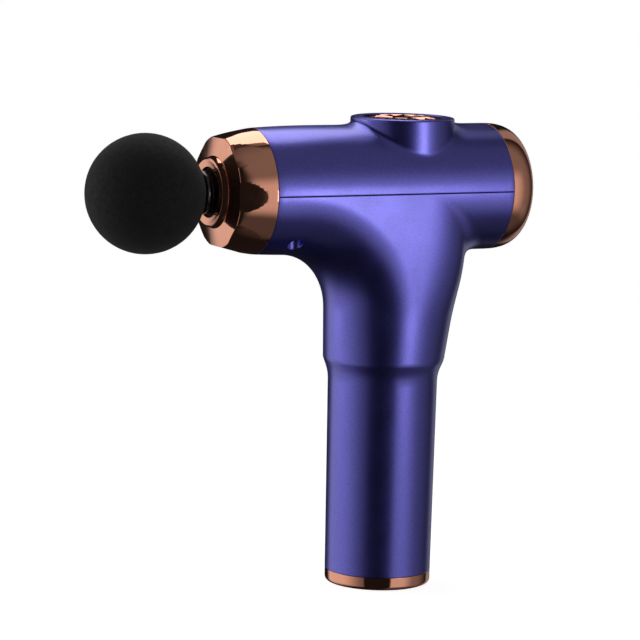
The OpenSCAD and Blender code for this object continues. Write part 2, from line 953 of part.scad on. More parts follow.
module housing_screws() {
    color("#55555a")
        for (s = [-1, 1])
            difference() {
                union() {
                    rod_z(screw_head_z - 2, screw_head_z, 2.6, screw_x, s * screw_y);
                    rod_z(screw_head_z, 178, 1.13, screw_x, s * screw_y);
                }
                for (a = [0, 90])
                    translate([screw_x, s * screw_y, screw_head_z - 2.1])
                        rotate([0, 0, a])
                            translate([-1.5, -0.3, 0])
                                cube([3, 0.6, 1.1]);
            }
}

upper_housing();
lower_housing();
nose_ring();
nose_collar();
dust_seal();
rear_bezel();
rear_panel();
power_button();
level_lights();
outlet_rosette();
outlet_screen();
base_ring();
base_plate();
base_screws();
charge_socket();
charge_board();
charge_leads();
lower_cell_holder();
upper_cell_holder();
cell_front();
cell_left();
cell_right();
cell_straps();
battery_board();
battery_leads();
control_board();
board_parts();
panel_board();
panel_screws();
tact_switch();
panel_leads();
motor_leads();
drive_frame();
front_damper();
rear_damper();
front_bush();
rear_bush();
motor_base();
motor_screws();
motor_bearings();
motor_core();
motor_windings();
motor_bell();
motor_magnets();
motor_shaft();
flywheel();
flywheel_screw();
crank_pin();
crank_bearing();
connecting_rod();
wrist_pin();
plunger();
head_seals();
head_stem();
head_ball();
housing_screws();
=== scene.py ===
import math

import bmesh
import bpy
import numpy as np
from mathutils import Matrix, Vector


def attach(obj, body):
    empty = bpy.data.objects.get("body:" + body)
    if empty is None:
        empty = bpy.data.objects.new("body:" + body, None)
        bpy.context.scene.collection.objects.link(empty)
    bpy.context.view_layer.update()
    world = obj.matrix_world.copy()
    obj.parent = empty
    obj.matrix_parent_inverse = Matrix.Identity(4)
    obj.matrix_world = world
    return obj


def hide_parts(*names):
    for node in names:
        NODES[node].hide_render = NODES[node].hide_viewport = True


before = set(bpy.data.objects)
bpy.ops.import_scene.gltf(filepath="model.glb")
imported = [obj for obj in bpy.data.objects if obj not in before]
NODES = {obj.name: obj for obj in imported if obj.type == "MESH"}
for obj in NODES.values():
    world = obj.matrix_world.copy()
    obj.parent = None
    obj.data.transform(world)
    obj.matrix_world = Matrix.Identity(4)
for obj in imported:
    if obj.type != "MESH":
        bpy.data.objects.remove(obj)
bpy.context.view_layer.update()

MM = 0.001

# Main sizes in millimetres, in the CAD's frame.
AXZ, RB = 170.7, 27.25          # height and radius of the barrel
X0, X1 = -64.6, 46.7            # the two ends of the painted barrel
BX, BR = 6.2, 22.2              # boss on top
NOSE_X, REAR_X = -80.4, 60.0     # front edge of the nose ring, flat back of the bezel
FOOT_R, FOOT_H = 22.75, 5.6
BALL_X, BALL_R = -112.9, 25.0
SEAM = 0.10                     # half of the gap along the parting line


# ---------------------------------------------------------------- materials

def rgb(r, g, b):
    """A colour given as it looks on screen, 0 to 255, as linear light."""
    out = []
    for c in (r, g, b):
        c /= 255.0
        out.append(c / 12.92 if c <= 0.04045 else ((c + 0.055) / 1.055) ** 2.4)
    return (*out, 1.0)


class Mat:
    """A Principled material with a few helpers for procedural detail."""

    def __init__(self, name, color, metallic=0.0, roughness=0.5, coat=0.0, coat_rough=0.05, sheen=0.0,
                 spec=None):
        self.m = bpy.data.materials.new(name)
        self.m.use_nodes = True
        self.t = self.m.node_tree
        self.b = self.t.nodes["Principled BSDF"]
        self.b.inputs["Base Color"].default_value = color
        self.b.inputs["Metallic"].default_value = metallic
        self.b.inputs["Roughness"].default_value = roughness
        self.b.inputs["Coat Weight"].default_value = coat
        self.b.inputs["Coat Roughness"].default_value = coat_rough
        self.b.inputs["Sheen Weight"].default_value = sheen
        if spec is not None:
            self.b.inputs["Specular IOR Level"].default_value = spec
        self.co = self.t.nodes.new("ShaderNodeTexCoord").outputs["Object"]
        self.last = None

    def node(self, kind, **inputs):
        n = self.t.nodes.new(kind)
        for k, v in inputs.items():
            n.inputs[k.replace("_", " ")].default_value = v
        return n

    def link(self, a, b):
        self.t.links.new(a, b)

    def stretch(self, x, y, z):
        n = self.node("ShaderNodeMapping")
        n.inputs["Scale"].default_value = (x, y, z)
        self.link(self.co, n.inputs["Vector"])
        return n.outputs["Vector"]

    def noise(self, scale, detail=3.0, rough=0.5, co=None):
        n = self.node("ShaderNodeTexNoise", Scale=scale, Detail=detail, Roughness=rough)
        self.link(co or self.co, n.inputs["Vector"])
        return n.outputs["Fac"]

    def cells(self, scale, out="Distance", co=None):
        n = self.node("ShaderNodeTexVoronoi", Scale=scale)
        self.link(co or self.co, n.inputs["Vector"])
        return n.outputs[out]

    def span(self, value, lo, hi, a=0.0, b=1.0):
        n = self.node("ShaderNodeMapRange")
        for k, v in (("From Min", a), ("From Max", b), ("To Min", lo), ("To Max", hi)):
            n.inputs[k].default_value = v
        self.link(value, n.inputs["Value"])
        return n.outputs["Result"]

    def colour_between(self, fac, c1, c2):
        n = self.t.nodes.new("ShaderNodeMix")
        n.data_type = "RGBA"
        n.inputs["A"].default_value = c1
        n.inputs["B"].default_value = c2
        self.link(fac, n.inputs["Factor"])
        self.link(n.outputs["Result"], self.b.inputs["Base Color"])

    def rough(self, value):
        self.link(value, self.b.inputs["Roughness"])

    def bump(self, height, strength, distance):
        n = self.node("ShaderNodeBump", Strength=strength, Distance=distance)
        self.link(height, n.inputs["Height"])
        if self.last is not None:
            self.link(self.last, n.inputs["Normal"])
        self.link(n.outputs["Normal"], self.b.inputs["Normal"])
        self.last = n.outputs["Normal"]


def paint():
    """Satin metallic lacquer: fine flakes under a soft clear coat."""
    m = Mat("purple_lacquer", rgb(104, 100, 197), metallic=1.0, roughness=0.34, coat=0.5, coat_rough=0.22)
    m.b.inputs["Coat IOR"].default_value = 1.7
    flake = m.cells(5200.0, "Color")
    sep = m.node("ShaderNodeSeparateColor")
    m.link(flake, sep.inputs["Color"])
    m.colour_between(m.span(sep.outputs["Red"], 0.0, 1.0), rgb(90, 86, 187), rgb(111, 106, 208))
    m.rough(m.span(m.noise(90.0, 4.0), 0.31, 0.37, 0.3, 0.7))
    m.bump(m.noise(3800.0, 2.0), 0.06, 0.00005)
    m.bump(m.noise(260.0, 3.0), 0.05, 0.0001)
    return m.m


def rose():
    """Bright plated rose gold with the faint waviness and wipe marks of plating."""
    m = Mat("rose_gold_plate", rgb(243, 170, 142), metallic=1.0, roughness=0.07)
    m.colour_between(m.noise(60.0, 3.0), rgb(238, 163, 134), rgb(247, 177, 150))
    m.rough(m.span(m.noise(140.0, 5.0, 0.6), 0.045, 0.10, 0.3, 0.7))
    m.bump(m.noise(55.0, 2.0), 0.035, 0.0004)
    return m.m


def foam():
    """Dense moulded foam: matt, with tiny open cells and a slightly mottled skin."""
    m = Mat("black_foam", rgb(20, 20, 21), roughness=0.82, sheen=0.10, spec=0.28)
    m.b.inputs["Sheen Roughness"].default_value = 0.6
    mottle = m.span(m.noise(900.0, 4.0, 0.65), 0.0, 1.0, 0.3, 0.7)
    m.colour_between(mottle, rgb(15, 15, 16), rgb(27, 27, 28))
    m.rough(m.span(m.noise(500.0, 3.0), 0.74, 0.92, 0.3, 0.7))
    m.bump(m.cells(1500.0), 0.35, 0.00016)
    m.bump(m.noise(2600.0, 3.0, 0.7), 0.30, 0.00012)
    m.bump(m.noise(70.0, 2.0), 0.10, 0.0006)
    return m.m


def darker(c, by):
    return rgb(*[max(0, x - by) for x in c])


def plastic(name, c, rough, grain=0.12, size=1600.0, gloss=False):
    """Moulded plastic with a fine grain; gloss adds a clear skin."""
    m = Mat(name, rgb(*c), roughness=rough, coat=0.4 if gloss else 0.0, coat_rough=0.06)
    m.colour_between(m.noise(180.0, 3.0), darker(c, 5), rgb(*c))
    m.rough(m.span(m.noise(400.0, 4.0), rough * 0.85, min(1.0, rough * 1.15), 0.3, 0.7))
    m.bump(m.noise(size, 3.0, 0.6), grain, 0.00008)
    return m.m


def rubber(name, c):
    """Soft rubber, matt and slightly uneven."""
    m = Mat(name, rgb(*c), roughness=0.75, spec=0.35)
    m.colour_between(m.noise(300.0, 3.0), darker(c, 6), rgb(*c))
    m.rough(m.span(m.noise(700.0, 3.0), 0.66, 0.86, 0.3, 0.7))
    m.bump(m.noise(1900.0, 4.0, 0.7), 0.25, 0.0001)
    return m.m


def metal(name, c, rough, along=None, wave=0.08):
    """Bare metal; along = stretch of the grain for turned or brushed faces."""
    m = Mat(name, rgb(*c), metallic=1.0, roughness=rough)
    co = m.stretch(*along) if along else None
    m.colour_between(m.noise(120.0, 3.0), darker(c, 14), rgb(*c))
    m.rough(m.span(m.noise(500.0, 5.0, 0.65, co), rough * 0.75, min(1.0, rough * 1.3), 0.3, 0.7))
    m.bump(m.noise(900.0, 4.0, 0.6, co), wave, 0.00006)
    return m.m


def board():
    """Solder mask with copper traces showing through as slightly lighter lines."""
    m = Mat("circuit_board", rgb(24, 92, 52), roughness=0.35, coat=0.3, coat_rough=0.12)
    n = m.node("ShaderNodeTexBrick", Scale=160.0)
    n.inputs["Color1"].default_value = (1, 1, 1, 1)
    n.inputs["Color2"].default_value = (0.6, 0.6, 0.6, 1)
    n.inputs["Mortar"].default_value = (0, 0, 0, 1)
    m.link(m.co, n.inputs["Vector"])
    m.colour_between(n.outputs["Color"], rgb(16, 70, 38), rgb(34, 112, 64))
    m.rough(m.span(m.noise(300.0, 3.0), 0.28, 0.42, 0.3, 0.7))
    m.bump(n.outputs["Fac"], 0.15, 0.00005)
    return m.m


def windings():
    """Turns of enamelled copper wire, side by side."""
    m = Mat("copper_wire", rgb(196, 108, 52), metallic=1.0, roughness=0.3, coat=0.3, coat_rough=0.1)
    w = m.node("ShaderNodeTexWave", Scale=420.0, Distortion=0.6)
    w.bands_direction = "Z"
    m.link(m.co, w.inputs["Vector"])
    m.colour_between(w.outputs["Fac"], rgb(150, 76, 34), rgb(205, 120, 62))
    m.rough(m.span(w.outputs["Fac"], 0.22, 0.42))
    m.bump(w.outputs["Fac"], 0.5, 0.00015)
    return m.m


def light_pipe():
    """Milky clear plastic of the level lights, unlit."""
    m = Mat("light_pipe", rgb(225, 236, 245), roughness=0.25, coat=0.3, coat_rough=0.1)
    m.b.inputs["Transmission Weight"].default_value = 0.25
    m.colour_between(m.noise(600.0, 3.0), rgb(208, 222, 236), rgb(232, 241, 248))
    m.rough(m.span(m.noise(900.0, 3.0), 0.18, 0.34, 0.3, 0.7))
    m.bump(m.noise(1500.0, 2.0), 0.05, 0.00005)
    return m.m


PAINT = paint()
ROSE = rose()
FOAM = foam()
GLOSS_BLACK = plastic("gloss_black_plastic", (15, 15, 17), 0.16, 0.02, 900.0, True)
MATT_BLACK = plastic("matt_black_plastic", (27, 27, 29), 0.6, 0.22)
RUBBER = rubber("black_rubber", (22, 22, 23))
SEAL = rubber("seal_rubber", (17, 17, 18))
STEEL = metal("bearing_steel", (196, 198, 204), 0.24)
TURNED = metal("turned_steel", (176, 178, 184), 0.3, (1.0, 1.0, 14.0))
DARK_STEEL = metal("dark_steel", (92, 94, 99), 0.38, (1.0, 1.0, 20.0))
SCREW = metal("screw_steel", (104, 106, 112), 0.34)
CAST = metal("cast_alloy", (168, 171, 175), 0.46, None, 0.3)
BRONZE = metal("sintered_bronze", (176, 134, 78), 0.42, None, 0.25)
NICKEL = metal("nickel_strip", (188, 186, 176), 0.28, (1.0, 8.0, 1.0))
SHELL = metal("socket_shell", (170, 172, 178), 0.3, (1.0, 1.0, 10.0))
BOARD = board()
COPPER = windings()
PIPE = light_pipe()
RED = plastic("red_insulation", (166, 30, 26), 0.42, 0.1)
WHITE = plastic("white_insulation", (208, 208, 200), 0.45, 0.1)
BLUE = plastic("blue_insulation", (40, 84, 160), 0.42, 0.1)
WRAP = plastic("cell_sleeve", (38, 92, 140), 0.34, 0.06)

FINISH = {
    "upper_housing": PAINT, "lower_housing": PAINT,
    "nose_ring": ROSE, "nose_collar": ROSE, "rear_bezel": ROSE, "outlet_rosette": ROSE, "base_ring": ROSE,
    "dust_seal": SEAL, "front_damper": RUBBER, "rear_damper": RUBBER, "head_seals": RUBBER,
    "rear_panel": GLOSS_BLACK, "head_stem": GLOSS_BLACK, "power_button": MATT_BLACK,
    "level_lights": PIPE, "outlet_screen": MATT_BLACK, "base_plate": MATT_BLACK,
    "lower_cell_holder": MATT_BLACK, "upper_cell_holder": MATT_BLACK, "board_parts": MATT_BLACK,
    "tact_switch": MATT_BLACK, "head_ball": FOAM,
    "base_screws": SCREW, "panel_screws": SCREW, "motor_screws": SCREW, "housing_screws": SCREW,
    "flywheel_screw": SCREW, "charge_socket": SHELL,
    "charge_board": BOARD, "battery_board": BOARD, "control_board": BOARD, "panel_board": BOARD,
    "charge_leads": RED, "battery_leads": RED, "panel_leads": WHITE, "motor_leads": BLUE,
    "cell_front": WRAP, "cell_left": WRAP, "cell_right": WRAP, "cell_straps": NICKEL,
    "drive_frame": CAST, "motor_base": CAST, "connecting_rod": CAST, "plunger": TURNED,
    "front_bush": BRONZE, "rear_bush": BRONZE,
    "motor_bearings": STEEL, "motor_shaft": STEEL, "flywheel": TURNED, "crank_pin": STEEL,
    "crank_bearing": STEEL, "wrist_pin": STEEL,
    "motor_core": DARK_STEEL, "motor_bell": DARK_STEEL, "motor_magnets": DARK_STEEL,
    "motor_windings": COPPER,
}
for name, obj in NODES.items():
    mat = FINISH[name]
    if not obj.data.materials:
        obj.data.materials.append(mat)
    for i in range(len(obj.material_slots)):
        obj.material_slots[i].material = mat


# ---------------------------------------------------------------- mesh tools

def build(name, verts, faces, mat, body, nodes=(), sharp=32.0):
    """A mesh piece from points in millimetres, smooth except at edges sharper than the angle."""
    me = bpy.data.meshes.new(name)
    me.from_pydata([tuple(float(c) * MM for c in v) for v in verts], [], [list(map(int, f)) for f in faces])
    me.validate()
    me.shade_smooth()
    me.set_sharp_from_angle(angle=math.radians(sharp))
    me.materials.append(mat)
    ob = bpy.data.objects.new(name, me)
    bpy.context.scene.collection.objects.link(ob)
    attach(ob, body)
    if nodes:
        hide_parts(*nodes)
    return ob


def face_out(ob, centre):
    """Turns every face of a closed or nearly closed piece outwards."""
    bm = bmesh.new()
    bm.from_mesh(ob.data)
    bmesh.ops.recalc_face_normals(bm, faces=bm.faces)
    c = Vector(centre) * MM
    total = sum((f.calc_center_median() - c).dot(f.normal) * f.calc_area() for f in bm.faces)
    if total < 0:
        bmesh.ops.reverse_faces(bm, faces=bm.faces)
    bm.to_mesh(ob.data)
    bm.free()


def round_corners(pts, radii, steps=5):
    """An outline with its corners rounded: pts are (s, r), radii one per point."""
    out = []
    n = len(pts)
    for i, p in enumerate(pts):
        r = radii[i]
        if r <= 0 or i in (0, n - 1):
            out.append(p)
            continue
        p = np.array(p, float)
        a, b = np.array(pts[i - 1], float) - p, np.array(pts[i + 1], float) - p
        la, lb = np.linalg.norm(a), np.linalg.norm(b)
        a, b = a / la, b / lb
        half = math.acos(max(-1.0, min(1.0, float(a @ b)))) / 2
        if half > math.radians(88.5):
            out.append(tuple(p))
            continue
        d = min(r / math.tan(half), 0.45 * la, 0.45 * lb)
        rr = d * math.tan(half)
        c = p + (a + b) / np.linalg.norm(a + b) * (rr / math.sin(half))
        s, e = p + a * d, p + b * d
        a0, a1 = math.atan2(*(s - c)[::-1]), math.atan2(*(e - c)[::-1])
        turn = (a1 - a0 + math.pi) % (2 * math.pi) - math.pi
        for k in range(steps + 1):
            t = a0 + turn * k / steps
            out.append((c[0] + rr * math.cos(t), c[1] + rr * math.sin(t)))
    return out


def lathe_points(profile, axis, n):
    """Rings of points turned about the barrel's axis ("x") or an upright one ("z")."""
    rings = []
    for s, r in profile:
        a = np.arange(n) * 2 * math.pi / n
        if axis == "x":
            rings.append(np.stack([np.full(n, s), r * np.sin(a), AXZ + r * np.cos(a)], 1))
        else:
            rings.append(np.stack([r * np.cos(a), r * np.sin(a), np.full(n, s)], 1))
    return np.array(rings)


def grid_faces(rows, n):
    """Faces between closed rows of n points each."""
    return [(j * n + i, j * n + (i + 1) % n, (j + 1) * n + (i + 1) % n, (j + 1) * n + i)
            for j in range(rows - 1) for i in range(n)]


def lathe(name, profile, axis, mat, body, nodes=(), n=256, at=(0, 0, 0), cap=(False, False),
          sharp=32.0):
    """A turned piece; cap closes its first and last ring."""
    rings = lathe_points(profile, axis, n)
    verts = list(rings.reshape(-1, 3) + np.array(at, float))
    faces = grid_faces(len(rings), n)
    for k, j in ((0, 0), (1, len(rings) - 1)):
        if cap[k]:
            centre = len(verts)
            verts.append(rings[j].mean(0) + np.array(at, float))
            faces += [(centre, j * n + i, j * n + (i + 1) % n) for i in range(n)]
    ob = build(name, verts, faces, mat, body, nodes, sharp)
    face_out(ob, rings.reshape(-1, 3).mean(0) + np.array(at, float))
    return ob


# ---------------------------------------------------------------- housing surface

def ease(t):
    """A smooth step from 0 to 1."""
    t = np.clip(t, 0, 1)
    return t * t * (3 - 2 * t)


def barrel_radius(x):
    """The barrel narrows a little towards the nose."""
    return RB - 0.8 * np.clip((-36.0 - x) / 28.6, 0, 1) ** 2.2


def f_barrel(p):
    """Distance from the barrel's skin; as in every f_ here, negative inside."""
    return np.hypot(p[..., 1], p[..., 2] - AXZ) - barrel_radius(p[..., 0])


FRONT_R, BACK_R = 24.0, 9.0     # fillets between neck and barrel, in front and behind
FRONT_X, BACK_X = 25.85, 26.15  # reach of the neck in front and behind, just above the step
FRONT_LEAN, BACK_LEAN = 0.03, 0.18
STEP_Z = 97.5                   # top of the step between grip and neck
NECK_Z = 112.0                  # where the neck begins to blend into the barrel
GRIP_Z = 91.3                   # foot of the step
GRIP_R0, GRIP_R1 = 22.74, 23.55  # the grip at the floor and at the step
NECK_R = 26.0                   # the neck just above the step
SCREW_X, SCREW_Y, SCREW_R = -51.8, 16.5, 3.25
RECESS_TOP = 157.0


def neck_ellipse(z):
    """Centre, half length and half width of the neck's section at a height."""
    h = np.clip(z - STEP_Z, 0, None)
    front, back = FRONT_X + FRONT_LEAN * h, BACK_X + BACK_LEAN * h
    return (back - front) / 2, (back + front) / 2, 26.1 + 0.011 * h


def soft_min(a, b, k):
    """The smaller of two distances, rounded over a width k where they meet."""
    h = np.clip(k - np.abs(a - b), 0, None) / k
    return np.minimum(a, b) - h * h * k * 0.25


def front_bend(x, z):
    """Distance from the front fillet's centre line, and the angle turned there towards the barrel."""
    up = z - (AXZ - RB - FRONT_R)
    across = FRONT_X + FRONT_LEAN * (z - STEP_Z) + x + FRONT_R
    turned = np.hypot(np.clip(across, 0, None), np.clip(up, 0, None))
    rho = np.where(up <= 0, across, np.where(across <= 0, up, turned))
    angle = np.where(up <= 0, 0.0, np.where(across <= 0, math.pi / 2, np.arctan2(up, across)))
    return rho, angle


def f_lower(p):
    """In front the neck bends into the barrel like a pipe; behind, a square shoulder meets the seam."""
    x, y, z = p[..., 0], p[..., 1], p[..., 2]
    centre, _, half = neck_ellipse(z)
    end = barrel_radius(x)
    half = half + (end - half) * ease((z - NECK_Z) / (AXZ - NECK_Z))
    rho, turn = front_bend(x, z)
    s = ease(turn / (math.pi / 2))
    reach = neck_ellipse(np.minimum(z, AXZ - RB - FRONT_R))[1]
    u = np.minimum(rho - (FRONT_R + reach + (RB - reach) * s), 0)
    size = reach + (end - reach) * s
    r = np.hypot(u, y) + 1e-9
    front = r - r / (np.hypot(u / size, y / half) + 1e-9)

    h = np.clip(z - STEP_Z, 0, None)
    lean = 34.5 - 3.0 * np.logaddexp(0, (34.5 - h) / 3.0)
    back_x = BACK_X + BACK_LEAN * lean - 0.6 * ease((h - 14.0) / 20.0)
    u = np.clip(x - centre, 0, None)
    size = back_x - centre
    power = 2.0 + 1.15 * ease((z - NECK_Z) / 42.0)
    g = ((u / size) ** power + np.abs(y / half) ** power + 1e-12) ** (1 / power)
    r = np.hypot(u, y) + 1e-9
    neck = r - r / g
    nx, ny = u ** (power - 1) / size ** power, np.abs(y) ** (power - 1) / half ** power
    ny = ny / (np.hypot(nx, ny) + 1e-12)
    along = ny * np.abs(y) / (np.hypot(y, z - AXZ) + 1e-9)
    back = soft_min(f_barrel(p), neck, BACK_R * np.clip(1 - along, 0, 1) + 0.02)
    return np.where(x < centre, front, back)


def f_upper(p):
    """Barrel and boss: the flare is long and low along the crest and tight at the sides."""
    y = p[..., 1]
    r = np.hypot(p[..., 0] - BX, y) + 1e-9
    wall = r - (BR + 0.03 * np.clip(200.4 - p[..., 2], 0, None))
    along = (y / r) * y / (np.hypot(y, p[..., 2] - AXZ) + 1e-9)
    k = 1.15 * np.clip(1 - along, 0, 1) + 0.01
    return soft_min(f_barrel(p) / 2.4, wall / 7.2, k) * 4


def settle(p, f, steps=6):
    """Moves points onto the surface f = 0."""
    e = 0.01
    for _ in range(steps):
        g = np.stack([(f(p + d) - f(p - d)) / (2 * e) for d in np.eye(3) * e], -1)
        move = (f(p) / np.maximum((g * g).sum(-1), 0.05))[..., None] * g
        size = np.linalg.norm(move, axis=-1, keepdims=True)
        p = p - move * np.minimum(1, 3.0 / np.maximum(size, 1e-9))
    return p


NS, NE = 96, 72                 # points along a side and across an end
N = 2 * (NS + NE)


def rectangle(inset):
    """The edge of one half of the barrel, unrolled: stations along it and angles across it."""
    xa, xb = X0 + inset, X1 - inset
    v = math.pi / 2 - (SEAM + inset) / RB
    te, ts = np.arange(NE) / NE, np.arange(NS) / NS
    u = np.concatenate([np.full(NE, xb), xb + (xa - xb) * ts, np.full(NE, xa), xa + (xb - xa) * ts])
    w = np.concatenate([-v + 2 * v * te, np.full(NS, v), v - 2 * v * te, np.full(NS, -v)])
    return u, w


def on_barrel(u, w, side, depth=0.0):
    """Points of the barrel at stations u and angles w from its top (side 1) or bottom (side -1)."""
    r = barrel_radius(u) - depth
    return np.stack([u, r * np.sin(w), AXZ + side * r * np.cos(w)], -1)


def half_shell(side, f, centre, foot, foot_w, ring, rows, crease):
    """Rows from a ring on the neck or boss, over the blend, out to the edge of the half barrel."""
    u, w = rectangle(0.3)
    du = np.where(u > centre, (u - centre) / (X1 - centre), (u - centre) / (centre - X0))
    a = np.arctan2(w / (math.pi / 2), du)
    fu = centre + np.where(np.cos(a) > 0, foot[1] - centre, centre - foot[0]) * np.cos(a)
    fw = foot_w * np.sin(a)
    start = ring(a)
    end = on_barrel(fu, fw, side)
    mid = crease(start)
    t = np.linspace(0, 1, rows[0])[:, None, None]
    blend = (1 - t) ** 2 * start + 2 * t * (1 - t) * mid + t * t * end
    t = np.linspace(0, 1, rows[1] + 1)[1:, None]
    flat = on_barrel(fu + (u - fu) * t, fw + (w - fw) * t, side)
    grid = np.concatenate([blend, flat], 0)
    grid[1:-1] = settle(grid[1:-1], f)
    for _ in range(40):
        avg = (np.roll(grid, 1, 1) + np.roll(grid, -1, 1))[1:-1] + grid[:-2] + grid[2:]
        grid[1:-1] = settle(0.5 * grid[1:-1] + 0.125 * avg, f, 1)
    grid[1:-1] = settle(grid[1:-1], f, 4)
    lips = []
    for inset, depth in ((0.12, 0.03), (0.03, 0.12), (0.0, 0.3), (0.0, 1.9)):
        u, w = rectangle(inset)
        lips.append(on_barrel(u, w, side, depth))
    return a, np.concatenate([grid, np.array(lips)], 0)


def lower_ring(a, z=NECK_Z):
    """One section of the neck."""
    c, la, lb = neck_ellipse(z)
    return np.stack([c + la * np.cos(a), lb * np.sin(a), np.full_like(a, z)], -1)


def lower_crease(s):
    """Where the neck, carried straight up, would meet the barrel."""
    z = AXZ - np.sqrt(np.clip(RB ** 2 - s[:, 1] ** 2, 4, None))
    h = z - s[:, 2]
    c = s.copy()
    c[:, 0] += np.where(s[:, 0] > 0, 0.18, -0.03) * h * np.abs(s[:, 0]) / 28
    c[:, 2] = z
    return c


def handle_rows(a):
    """Rings of the grip and the step, from the neck down to the foot."""
    rows = []
    for z in np.concatenate([np.linspace(110.8, 98.6, 11), np.array([98.1])]):
        rows.append(lower_ring(a, z))
    levels = np.concatenate([np.linspace(97.95, 96.7, 11), np.linspace(96.2, 93.2, 7),
                             np.linspace(92.9, 88.5, 20), np.linspace(87.0, 6.2, 44)])
    for z in levels:
        grip = GRIP_R0 + (GRIP_R1 - GRIP_R0) * z / GRIP_Z
        slope = 23.6 + (NECK_R - 23.6) * (z - 91.5) / 6.0
        r = -soft_min(np.array(-grip), np.array(-slope), 1.3)
        r = float(soft_min(r, np.array(NECK_R), 0.35))
        k = float(ease((z - 91.0) / 6.5))
        c, la, lb = neck_ellipse(STEP_Z)
        rows.append(np.stack([c * k + (r + (la - NECK_R) * k) * np.cos(a),
                              (r + (lb - NECK_R) * k) * np.sin(a), np.full_like(a, z)], -1))
    for z, d in ((5.95, 0.0), (5.77, 0.04), (5.68, 0.13), (5.65, 0.3), (5.65, 1.9)):
        r = FOOT_R + 0.05 - d
        rows.append(np.stack([r * np.cos(a), r * np.sin(a), np.full_like(a, z)], -1))
    return np.array(rows)


def cut_recess(bm, cx, cy, r):
    """Cuts a round recess upwards into the underside of the lower shell (metres)."""
    def g(v):
        return math.hypot(v.co.x - cx, v.co.y - cy) - r

    def to_circle(v, radius):
        k = radius / math.hypot(v.co.x - cx, v.co.y - cy)
        v.co.x, v.co.y = cx + (v.co.x - cx) * k, cy + (v.co.y - cy) * k

    def around_hole(reach):
        mids = [(f, f.calc_center_median()) for f in bm.faces]
        return [f for f, c in mids if c.z < AXZ * MM - 0.006 and math.hypot(c.x - cx, c.y - cy) < reach]

    for _ in range(2):
        edges = {e for f in around_hole(r * 1.5) for e in f.edges}
        bmesh.ops.subdivide_edges(bm, edges=list(edges), cuts=1, use_grid_fill=True)
    bmesh.ops.triangulate(bm, faces=around_hole(r * 1.9))
    near = list({v for f in around_hole(r * 1.5) for v in f.verts})
    for v, q in zip(near, settle(np.array([v.co[:] for v in near]) / MM, f_lower)):
        v.co = q * MM
    ring = {v for v in near if abs(g(v)) < 0.00003}
    for v in ring:
        to_circle(v, r)
    for e in {e for v in near for e in v.link_edges}:
        a, b = g(e.verts[0]), g(e.verts[1])
        if a * b < 0 and not ring & set(e.verts):
            v = bmesh.utils.edge_split(e, e.verts[0], a / (a - b))[1]
            to_circle(v, r)
            ring.add(v)
    for f in {f for v in ring for f in v.link_faces}:
        on = [v for v in f.verts if v in ring]
        if len(on) == 2 and not any(e.other_vert(on[0]) is on[1] for e in on[0].link_edges if e in f.edges):
            bmesh.utils.face_split(f, on[0], on[1])
    gone = [f for f in around_hole(r * 1.2) if all(v in ring or g(v) < 0 for v in f.verts)]
    bmesh.ops.delete(bm, geom=gone, context="FACES")
    edges = [e for e in bm.edges if len(e.link_faces) == 1 and all(v in ring for v in e.verts)]
    for rise, shrink in ((0.00012, 0.00010), (0.0004, 0.00014), (None, 0.00014)):
        out = bmesh.ops.extrude_edge_only(bm, edges=edges)["geom"]
        for v in (x for x in out if isinstance(x, bmesh.types.BMVert)):
            to_circle(v, r - shrink)
            v.co.z = v.co.z + rise if rise else RECESS_TOP * MM
        edges = [x for x in out if isinstance(x, bmesh.types.BMEdge)]
    bmesh.ops.edgeloop_fill(bm, edges=edges)


def close_shell(ob, bm, place, outward):
    """Writes a half shell back with its faces outwards, judged at one place (metres)."""
    bmesh.ops.recalc_face_normals(bm, faces=bm.faces)
    f = min(bm.faces, key=lambda q: (q.calc_center_median() - Vector(place)).length)
    if f.normal.dot(Vector(outward)) < 0:
        bmesh.ops.reverse_faces(bm, faces=bm.faces)
    bm.to_mesh(ob.data)
    bm.free()
    ob.data.shade_smooth()
    ob.data.set_sharp_from_angle(angle=math.radians(40))


def lower_housing():
    """Lower half of the barrel with neck and grip, and the two screw recesses."""
    a, shell = half_shell(-1, f_lower, (X0 + X1) / 2, (-52.5, 44.9), math.radians(86), lower_ring,
                          (48, 10), lower_crease)
    grip = handle_rows(a)
    rows = np.concatenate([grip[::-1], shell], 0)
    ob = build("lower_housing_shell", rows.reshape(-1, 3), grid_faces(len(rows), N), PAINT, "housing",
               ["lower_housing"])
    bm = bmesh.new()
    bm.from_mesh(ob.data)
    for s in (-1, 1):
        cut_recess(bm, SCREW_X * MM, SCREW_Y * s * MM, SCREW_R * MM)
    close_shell(ob, bm, (0.0, -0.023, 0.05), (0, -1, 0))
    return ob


def upper_housing():
    """Upper half of the barrel with the boss and its rolled rim."""
    def ring(a):
        return np.stack([BX + BR * np.cos(a), BR * np.sin(a), np.full_like(a, 200.3)], -1)

    def crease(s):
        c = s.copy()
        c[:, 2] = np.minimum(AXZ + np.sqrt(np.clip(RB ** 2 - s[:, 1] ** 2, 4, None)) + 0.3, s[:, 2])
        return c

    a, shell = half_shell(1, f_upper, BX, (BX - 32, BX + 32), math.radians(69), ring, (30, 14), crease)
    rim = []
    for r, z in ((22.19, 200.45), (22.12, 200.66), (21.96, 200.85), (21.7, 201.0), (21.3, 201.13),
                 (20.7, 201.24), (19.9, 201.32), (19.1, 201.36), (18.5, 201.38), (18.2, 201.34),
                 (18.05, 201.22), (18.0, 201.0), (18.0, 200.2), (18.0, 199.45)):
        rim.append(np.stack([BX + r * np.cos(a), r * np.sin(a), np.full_like(a, z)], -1))
    rows = np.concatenate([np.array(rim)[::-1], shell], 0)
    ob = build("upper_housing_shell", rows.reshape(-1, 3), grid_faces(len(rows), N), PAINT, "housing",
               ["upper_housing"])
    bm = bmesh.new()
    bm.from_mesh(ob.data)
    close_shell(ob, bm, (-0.04, 0, 0.198), (0, 0, 1))
    return ob


LOWER = lower_housing()
UPPER = upper_housing()


